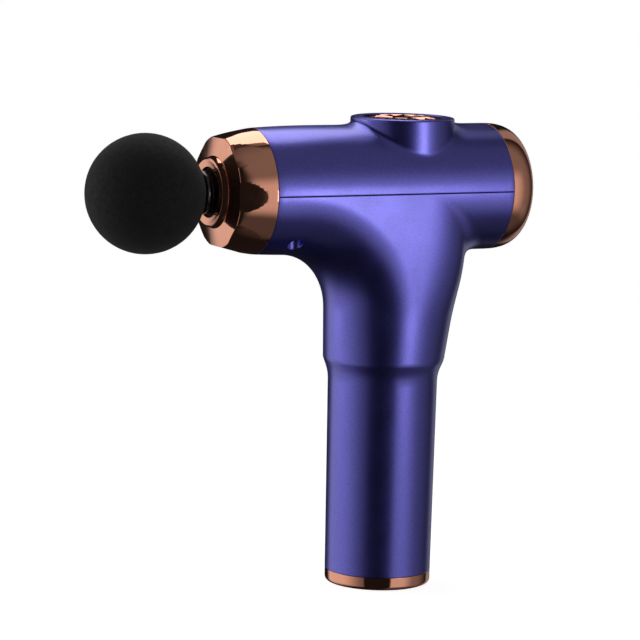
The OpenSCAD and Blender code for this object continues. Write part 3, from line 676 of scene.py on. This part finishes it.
# ---------------------------------------------------------------- plated trim

FLATS = 8
FLAT_X, FLAT_R = -69.4, 25.7    # where a flat leaves the round side
FLAT_END_R = 22.56              # how far from the axis it reaches the front edge


def nose_ring():
    """Turned ring with flats ground on it; each flat meets the round side in an arch."""
    side = [(-64.62, 24.9), (-64.62, 26.46), (-66.5, 26.18), (-68.5, 25.86), (-70.5, 25.51), (-72.2, 25.2),
            (-74.0, 24.86), (-75.6, 24.54), (-77.2, 24.2), (-78.6, 23.88), (-79.6, 23.64), (NOSE_X, 23.4),
            (-82.1, 15.0), (-82.1, 13.1)]
    prof = round_corners(side, [0, 0.18] + [0] * 9 + [0.5, 0.2, 0], 5)
    n = 360
    rings = lathe_points(prof, "x", n)
    ob = build("nose_ring_plated", rings.reshape(-1, 3), grid_faces(len(rings), n), ROSE, "housing",
               ["nose_ring"])
    face_out(ob, (-72, 0, AXZ))
    bm = bmesh.new()
    bm.from_mesh(ob.data)
    tilt = math.atan((FLAT_R - FLAT_END_R) / (FLAT_X - NOSE_X))
    for k in range(FLATS):
        t = 2 * math.pi * k / FLATS
        radial = Vector((0, math.sin(t), math.cos(t)))
        point = Vector((FLAT_X, 0, AXZ)) + radial * FLAT_R
        normal = Vector((-math.sin(tilt), 0, 0)) + radial * math.cos(tilt)
        cut = bmesh.ops.bisect_plane(bm, geom=bm.verts[:] + bm.edges[:] + bm.faces[:], dist=1e-7,
                                     plane_co=point * MM, plane_no=normal, clear_outer=True)
        edges = [e for e in cut["geom_cut"] if isinstance(e, bmesh.types.BMEdge)]
        bmesh.ops.edgeloop_fill(bm, edges=edges)
    bmesh.ops.recalc_face_normals(bm, faces=bm.faces)
    bm.to_mesh(ob.data)
    bm.free()
    face_out(ob, (-72, 0, AXZ))
    ob.data.shade_smooth()
    bev = ob.modifiers.new("soft_edges", "BEVEL")
    bev.width = 0.00028
    bev.segments = 3
    bev.limit_method = "ANGLE"
    bev.angle_limit = math.radians(16)
    bev.harden_normals = True
    return ob


NOSE = nose_ring()

COLLAR = lathe("nose_collar_plated", round_corners(
    [(-82.05, 13.1), (-82.05, 15.25), (-84.5, 14.35), (-85.0, 13.6), (-84.75, 12.2), (-84.62, 10.6),
     (-84.2, 10.5), (-80.0, 10.5)], [0, 0.15, 0.5, 0.35, 0.6, 0.15, 0.3, 0], 5),
    "x", ROSE, "housing", ["nose_collar"])


def dome(t):
    """Outline of the rear bezel, from the barrel to the flat back."""
    pts = []
    for i in range(61):
        a = math.radians(90 * i / 60)
        pts.append((X1 + (REAR_X - t - X1) * math.sin(a) ** 0.8,
                    16.8 + (RB - t - 16.8) * math.cos(a) ** 0.8))
    return pts


BEZEL = lathe("rear_bezel_plated",
              [(X1 + 0.02, 25.2), (X1 + 0.02, 26.9), (X1 + 0.06, 27.1), (X1 + 0.16, 27.2)]
              + dome(0.03)[2:-1] + [(REAR_X - 0.03, 16.95), (REAR_X - 0.07, 16.82), (REAR_X - 0.2, 16.74),
                                    (REAR_X - 0.5, 16.72), (57.5, 16.72)],
              "x", ROSE, "housing", ["rear_bezel"])

BASE = lathe("base_ring_plated", round_corners(
    [(FOOT_H, 20.8), (FOOT_H, FOOT_R), (0.02, FOOT_R - 0.02), (0.02, 18.12), (2.0, 18.1)],
    [0, 0.15, 1.9, 0.25, 0], 8), "z", ROSE, "housing", ["base_ring"])


def rosette():
    """Air outlet: a ring of ridged petals round a low button, with open gaps between them."""
    verts, faces = [], []

    def quad(*p):
        k = len(verts)
        verts.extend(p)
        faces.append(tuple(range(k, k + len(p))))

    count = 12
    for i in range(count):
        t = 2 * math.pi * i / count
        half = math.pi / count

        def at(r, da, z):
            return (BX + r * math.cos(t + da), r * math.sin(t + da), z)

        inner, tip = at(4.3, 0, 200.75), at(16.3, 0, 200.55)
        crown = at(11.0, 0, 201.32)
        left = [at(4.4, -half * 0.9, 200.3), at(8.6, -half * 0.66, 200.35), at(12.4, -half * 0.52, 200.35),
                at(16.3, -half * 0.80, 200.35)]
        right = [at(4.4, half * 0.9, 200.3), at(8.6, half * 0.66, 200.35), at(12.4, half * 0.52, 200.35),
                 at(16.3, half * 0.80, 200.35)]
        for k in range(3):
            if k == 0:
                quad(inner, crown, left[1], left[0])
                quad(inner, right[0], right[1], crown)
            elif k == 1:
                quad(crown, left[2], left[1])
                quad(crown, right[1], right[2])
            else:
                quad(crown, tip, left[3], left[2])
                quad(crown, right[2], right[3], tip)
        low = 199.45
        for s in (left, right):
            for k in range(3):
                a, b = s[k], s[k + 1]
                quad(a, b, (b[0], b[1], low), (a[0], a[1], low))
    ob = build("outlet_petals", verts, faces, ROSE, "housing", ["outlet_rosette"], 25)
    bm = bmesh.new()
    bm.from_mesh(ob.data)
    bmesh.ops.remove_doubles(bm, verts=bm.verts, dist=1e-6)
    bmesh.ops.recalc_face_normals(bm, faces=bm.faces)
    for f in bm.faces:
        if abs(f.normal.z) > 0.3 and f.normal.z < 0:
            f.normal_flip()
    bm.to_mesh(ob.data)
    bm.free()
    for p in ob.data.polygons:
        p.use_smooth = False
    return ob


PETALS = rosette()
HUB = lathe("outlet_hub", [(199.5, 4.5), (200.55, 4.5), (200.75, 4.42), (200.85, 4.25), (200.95, 3.6),
                           (201.12, 2.6), (201.22, 1.4), (201.25, 0.2)],
            "z", ROSE, "housing", (), 96, (BX, 0, 0), (False, True))
RIM = lathe("outlet_rim", round_corners(
    [(199.45, 17.9), (200.75, 17.9), (200.9, 17.1), (200.4, 15.8), (199.45, 15.8)],
    [0, 0.3, 0.35, 0.2, 0], 5),
            "z", ROSE, "housing", (), 192, (BX, 0, 0))


# ---------------------------------------------------------------- head

def ball():
    """Moulded foam ball: very slightly uneven skin, with the pocket that grips the stem's flange."""
    rows, n = 150, 256
    pocket = 9.55
    a_end = math.pi - math.asin(pocket / BALL_R)
    prof = [(BALL_X - BALL_R * math.cos(t), max(BALL_R * math.sin(t), 0.0))
            for t in np.linspace(0.004, a_end, rows)]
    ex, er = prof[-1]
    prof += [(ex + 0.10, er - 0.12), (ex + 0.02, er - 0.22), (ex - 0.4, er - 0.26), (-89.75, er - 0.26)]
    rings = lathe_points(prof, "x", n)
    p = rings.reshape(-1, 3).copy()
    c = np.array([BALL_X, 0, AXZ])
    d = p - c
    r = np.linalg.norm(d, axis=1)
    q = d / r[:, None]
    wob = (np.sin(5 * q[:, 0] + 3 * q[:, 1] + 1.1) * np.sin(4 * q[:, 2] - 2 * q[:, 1] + 0.4)
           + 0.5 * np.sin(11 * q[:, 1] - 7 * q[:, 2] + 2.0) * np.sin(9 * q[:, 0] + 0.7))
    on = (r > BALL_R - 0.3)
    p = c + q * (r - np.where(on, 0.06 + 0.035 * wob, 0.0))[:, None]
    faces = grid_faces(len(rings), n)
    verts = list(p)
    verts.append(c + np.array([-(BALL_R - 0.08), 0, 0]))
    faces += [(len(verts) - 1, i, (i + 1) % n) for i in range(n)]
    ob = build("foam_ball", verts, faces, FOAM, "head", ["head_ball"], 60)
    face_out(ob, c)
    return ob


BALL = ball()

STEM = lathe("head_stem_flange", [
    (-89.72, 5.6), (-89.72, 8.0), (-89.6, 8.45), (-89.3, 8.8), (-88.9, 9.05), (-88.4, 9.2), (-87.8, 9.26),
    (-87.2, 9.2), (-86.75, 9.0), (-86.4, 8.7), (-86.15, 8.3), (-86.03, 7.8), (-86.0, 7.2), (-86.0, 4.8),
    (-85.6, 4.6), (-79.8, 4.6), (-79.75, 4.5), (-79.75, 3.75), (-78.25, 3.75), (-78.25, 4.5), (-78.2, 4.6),
    (-70.8, 4.6), (-70.75, 4.5), (-70.75, 3.75), (-69.25, 3.75), (-69.25, 4.5), (-69.2, 4.6), (-66.4, 4.6),
    (-65.8, 4.4), (-65.45, 3.9), (-65.4, 3.4), (-65.4, 0.2)],
    "x", GLOSS_BLACK, "head", ["head_stem"], 160, (0, 0, 0), (False, True), 40)


# ---------------------------------------------------------------- floor, light, camera

def floor():
    """Softly lit white table; the screens of the studio carry on below it in the reflections."""
    me = bpy.data.meshes.new("floor")
    s = 8.0
    me.from_pydata([(-s, -s, 0), (s, -s, 0), (s, s, 0), (-s, s, 0)], [], [(0, 1, 2, 3)])
    ob = bpy.data.objects.new("floor", me)
    bpy.context.scene.collection.objects.link(ob)
    m = bpy.data.materials.new("white_table")
    m.use_nodes = True
    t = m.node_tree
    t.nodes.clear()
    out = t.nodes.new("ShaderNodeOutputMaterial")
    pale = t.nodes.new("ShaderNodeBsdfDiffuse")
    pale.inputs["Color"].default_value = (0.92, 0.92, 0.92, 1)
    glow = t.nodes.new("ShaderNodeEmission")
    glow.inputs["Strength"].default_value = TABLE_GLOW
    clear = t.nodes.new("ShaderNodeBsdfTransparent")
    both = t.nodes.new("ShaderNodeAddShader")
    mix = t.nodes.new("ShaderNodeMixShader")
    path = t.nodes.new("ShaderNodeLightPath")
    t.links.new(pale.outputs[0], both.inputs[0])
    t.links.new(glow.outputs[0], both.inputs[1])
    t.links.new(path.outputs["Is Camera Ray"], mix.inputs["Fac"])
    t.links.new(clear.outputs[0], mix.inputs[1])
    t.links.new(both.outputs[0], mix.inputs[2])
    t.links.new(mix.outputs[0], out.inputs["Surface"])
    me.materials.append(m)


# Wide screens of the studio: azimuth in degrees (rise, full, full, fall), the same for
# elevation, and brightness. Azimuth counts as in the views: 0 in front, positive to the right.
SCREENS = [
    ((-168, -152, -112, -58), (-62, -12, 35, 60), 0.60),
    ((-172, -155, -60, -54), (-45, -25, 40, 60), 0.17),
    ((0, 5, 28, 60), (-45, -18, 12, 34), 0.42),
    ((0, 5, 60, 110), (-45, -25, 75, 100), 0.20),
    ((0, 5, 60, 110), (-90, -70, -35, -20), 0.07),
    ((106, 113, 131, 140), (-55, -30, 60, 95), 0.30),
]
ROOM = 0.012
TABLE_GLOW = 0.83


def studio_world():
    """White to the camera; to reflections a dark room with the screens in it."""
    w = bpy.data.worlds.new("studio")
    bpy.context.scene.world = w
    w.use_nodes = True
    t = w.node_tree
    t.nodes.clear()

    def maths(op, a, b=None):
        n = t.nodes.new("ShaderNodeMath")
        n.operation = op
        for i, v in enumerate((a, b)):
            if isinstance(v, (int, float)):
                n.inputs[i].default_value = v
            elif v is not None:
                t.links.new(v, n.inputs[i])
        return n.outputs[0]

    def step(value, lo, hi):
        n = t.nodes.new("ShaderNodeMapRange")
        n.interpolation_type = "SMOOTHSTEP"
        n.inputs["From Min"].default_value = lo
        n.inputs["From Max"].default_value = hi
        t.links.new(value, n.inputs["Value"])
        return n.outputs["Result"]

    def band(value, marks):
        up = step(value, math.radians(marks[0]), math.radians(marks[1]))
        down = step(value, math.radians(marks[2]), math.radians(marks[3]))
        return maths("MULTIPLY", up, maths("SUBTRACT", 1.0, down))

    co = t.nodes.new("ShaderNodeTexCoord")
    xyz = t.nodes.new("ShaderNodeSeparateXYZ")
    t.links.new(co.outputs["Generated"], xyz.inputs[0])
    az = maths("ARCTAN2", xyz.outputs["X"], maths("MULTIPLY", xyz.outputs["Y"], -1.0))
    el = maths("ARCSINE", xyz.outputs["Z"])
    total = ROOM
    for across, upward, power in SCREENS:
        shape = maths("MULTIPLY", band(az, across), band(el, upward))
        total = maths("ADD", maths("MULTIPLY", shape, power), total)
    room = t.nodes.new("ShaderNodeBackground")
    t.links.new(total, room.inputs["Strength"])
    white = t.nodes.new("ShaderNodeBackground")
    white.inputs["Color"].default_value = (1, 1, 1, 1)
    room.inputs["Color"].default_value = (1, 1, 1, 1)
    path = t.nodes.new("ShaderNodeLightPath")
    mix = t.nodes.new("ShaderNodeMixShader")
    out = t.nodes.new("ShaderNodeOutputWorld")
    t.links.new(path.outputs["Is Camera Ray"], mix.inputs["Fac"])
    t.links.new(room.outputs[0], mix.inputs[1])
    t.links.new(white.outputs[0], mix.inputs[2])
    t.links.new(mix.outputs[0], out.inputs["Surface"])


floor()
studio_world()


def area(name, place, aim, size, bright):
    """A soft box; bright is what its face looks like, 1 being white."""
    d = bpy.data.lights.new(name, "AREA")
    d.shape = "RECTANGLE"
    d.size, d.size_y = size
    d.energy = bright * math.pi * size[0] * size[1]
    o = bpy.data.objects.new(name, d)
    bpy.context.scene.collection.objects.link(o)
    o.location = place
    o.rotation_mode = "QUATERNION"
    o.rotation_quaternion = (Vector(aim) - Vector(place)).to_track_quat("-Z", "Y")
    return o


def around(az, dist, z):
    """A place at an azimuth in degrees and a distance from the upright axis."""
    return (dist * math.sin(math.radians(az)), -dist * math.cos(math.radians(az)), z)


area("right_key", around(20, 0.62, 0.135), (0, 0, 0.135), (0.18, 0.20), 3.2)
area("left_key", around(-122, 0.62, 0.16), (0, 0, 0.14), (0.25, 0.26), 1.1)
area("top_key", (0.035, 0.14, 0.43), (-0.03, 0.0, 0.18), (0.17, 0.22), 1.9)


CAMERA_AT = (-629.6, -1170.5, 296.0)
CAMERA_FWD = (0.46861, 0.87127, -0.14589)
CAMERA_ROLL = 1.61
CAMERA_ASIDE = (0.0201664, 0.0101952)  # the frame's middle left of and above that line, as tangents
SENSOR, LENS = 36.0, 175.78125


def camera():
    """The view of the object as a person would photograph it: a long lens from in front, a bit above."""
    place = Vector(CAMERA_AT) * MM
    fwd = Vector(CAMERA_FWD).normalized()
    right = fwd.cross(Vector((0, 0, 1))).normalized()
    up = right.cross(fwd).normalized()
    roll = math.radians(CAMERA_ROLL)
    r = right * math.cos(roll) + up * math.sin(roll)
    u = up * math.cos(roll) - right * math.sin(roll)
    aim = (fwd - r * CAMERA_ASIDE[0] + u * CAMERA_ASIDE[1]).normalized()
    r = (r - aim * r.dot(aim)).normalized()
    u = r.cross(aim)
    cam = bpy.data.cameras.new("camera")
    cam.sensor_width = SENSOR
    cam.lens = LENS
    cam.clip_start, cam.clip_end = 0.01, 50.0
    ob = bpy.data.objects.new("camera", cam)
    bpy.context.scene.collection.objects.link(ob)
    m = Matrix.Identity(4)
    for i in range(3):
        m[i][0], m[i][1], m[i][2], m[i][3] = r[i], u[i], -aim[i], place[i]
    ob.matrix_world = m
    bpy.context.scene.camera = ob


camera()
bpy.context.scene.view_settings.view_transform = "Standard"
